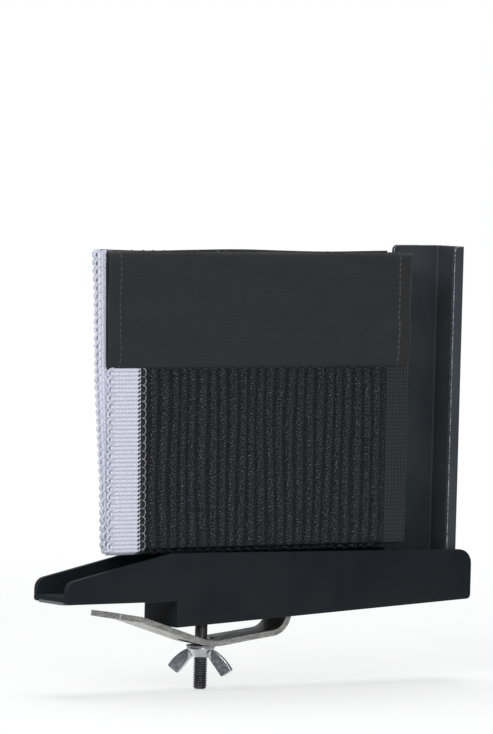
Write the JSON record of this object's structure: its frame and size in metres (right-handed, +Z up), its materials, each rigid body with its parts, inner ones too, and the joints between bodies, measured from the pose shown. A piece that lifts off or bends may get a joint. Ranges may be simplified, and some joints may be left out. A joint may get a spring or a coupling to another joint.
{
  "type": "table tennis net clamp",
  "caption": "Net post for a table tennis table: channel arm, upright, screw clamp with slotted plate and wing nut, and the folded net on the arm.",
  "frame": {"origin": "centre of the rubber pad's underside, where the arm rests on the table top", "axes": "+X outward from the table along the arm, +Y along the table's side line, +Z up"},
  "size_m": [0.2159, 0.0288, 0.1915],
  "materials": {
    "arm_plastic": "black, fine moulded grain",
    "pad_rubber": "grey, matt",
    "post_paint": "black powder coat",
    "rivet_steel": "black, satin",
    "bolt_black": "black oxide",
    "plate_zinc": "zinc plated, satin",
    "washer_zinc": "zinc plated, bright",
    "nut_zinc": "zinc plated, bright",
    "mesh_knit": "black ribbed knit",
    "tape_white": "white crocheted tape",
    "tape_black": "black woven tape",
    "sleeve_cloth": "black woven cloth"
  },
  "bodies": {
    "post_frame": {"arm": "arm_plastic", "table_pad": "pad_rubber", "post": "post_paint", "post_rivets": "rivet_steel", "clamp_bolt": "bolt_black"},
    "washer": {"nut_washer": "washer_zinc"},
    "wing_nut": {"wing_nut": "nut_zinc"},
    "clamp_plate": {"clamp_plate": "plate_zinc"},
    "folded_net": {"net_mesh": "mesh_knit", "net_top_tape": "tape_white", "net_bottom_tape": "tape_black", "net_end_sleeves": "sleeve_cloth"}
  },
  "joints": [
    {"name": "nut_travel", "type": "slide", "parent": "post_frame", "child": "washer", "axis": [0, 0, -1], "range_m": [0, 0.01201]},
    {"name": "wing_nut_turn", "type": "hinge", "parent": "washer", "child": "wing_nut", "pos_m": [0.0507, 0, -0.023], "axis": [0, 0, -1], "range_deg": [0, 4320]},
    {"name": "plate_swing", "type": "hinge", "parent": "post_frame", "child": "clamp_plate", "pos_m": [0.0917, 0, -0.00015], "axis": [0, -1, 0], "range_deg": [0, 17.14]},
    {"name": "net_lift_out", "type": "slide", "parent": "post_frame", "child": "folded_net", "axis": [0, 0, 1], "range_m": [0, 0.14]}
  ],
  "couplings": [
    {"joint": "nut_travel", "follows": "wing_nut_turn", "m_per_rad": 0.00015915},
    {"joint": "plate_swing", "follows": "wing_nut_turn", "ratio": 0.003964}
  ]
}
